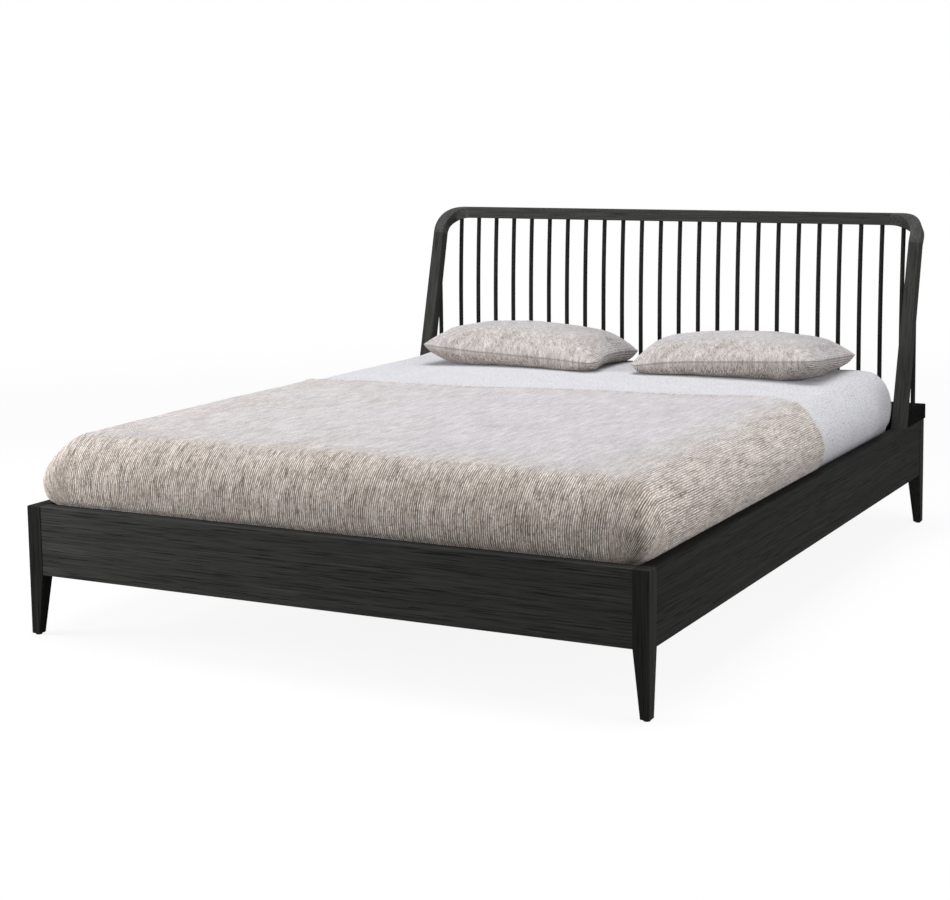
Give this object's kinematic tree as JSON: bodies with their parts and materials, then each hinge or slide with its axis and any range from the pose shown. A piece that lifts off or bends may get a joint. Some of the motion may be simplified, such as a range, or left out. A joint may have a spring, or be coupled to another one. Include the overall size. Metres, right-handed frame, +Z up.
{
  "type": "bed",
  "caption": "Low double bed in black-stained oak with a spindle headboard that leans back under a bent hoop, shown with mattress, sheet, blanket and pillows.",
  "frame": {"origin": "on the floor under the middle of the bed's outline", "axes": "+X to the right as seen from the foot, +Y from the foot to the headboard, +Z up"},
  "size_m": [1.7114, 2.22, 0.9782],
  "materials": {
    "black_oak": "satin",
    "pine": "matte",
    "steel": "matte",
    "felt": "matte",
    "ticking": "matte",
    "sheet_cotton": "matte",
    "melange_weave": "matte"
  },
  "bodies": {
    "root": {"front_leg_left": "black_oak", "front_leg_right": "black_oak", "rear_leg_left": "black_oak", "rear_leg_right": "black_oak", "foot_rail": "black_oak", "head_rail": "black_oak", "side_rail_left": "black_oak", "side_rail_right": "black_oak", "headboard_base": "black_oak", "top_rail": "black_oak", "hoop_corner_left": "black_oak", "hoop_corner_right": "black_oak", "hoop_post_left": "black_oak", "hoop_post_right": "black_oak", "spindle_01": "black_oak", "spindle_02": "black_oak", "spindle_03": "black_oak", "spindle_04": "black_oak", "spindle_05": "black_oak", "spindle_06": "black_oak", "spindle_07": "black_oak", "spindle_08": "black_oak", "spindle_09": "black_oak", "spindle_10": "black_oak", "spindle_11": "black_oak", "spindle_12": "black_oak", "spindle_13": "black_oak", "spindle_14": "black_oak", "spindle_15": "black_oak", "spindle_16": "black_oak", "spindle_17": "black_oak", "spindle_18": "black_oak", "spindle_19": "black_oak", "spindle_20": "black_oak", "spindle_21": "black_oak", "spindle_22": "black_oak", "spindle_23": "black_oak", "spindle_24": "black_oak", "spindle_25": "black_oak", "spindle_26": "black_oak", "corner_plates": "steel", "hanger_bolts": "steel", "hanger_nuts": "steel", "plate_screws": "steel", "ledger_screws": "steel", "beam_stirrups": "steel", "ledger_left": "pine", "ledger_right": "pine", "slats": "pine", "centre_beam": "pine", "centre_leg_front": "pine", "centre_leg_rear": "pine", "dowels": "pine", "floor_glides": "felt", "mattress": "ticking", "fitted_sheet": "sheet_cotton", "blanket": "melange_weave", "pillow_left": "melange_weave", "pillow_right": "melange_weave"}
  },
  "joints": []
}
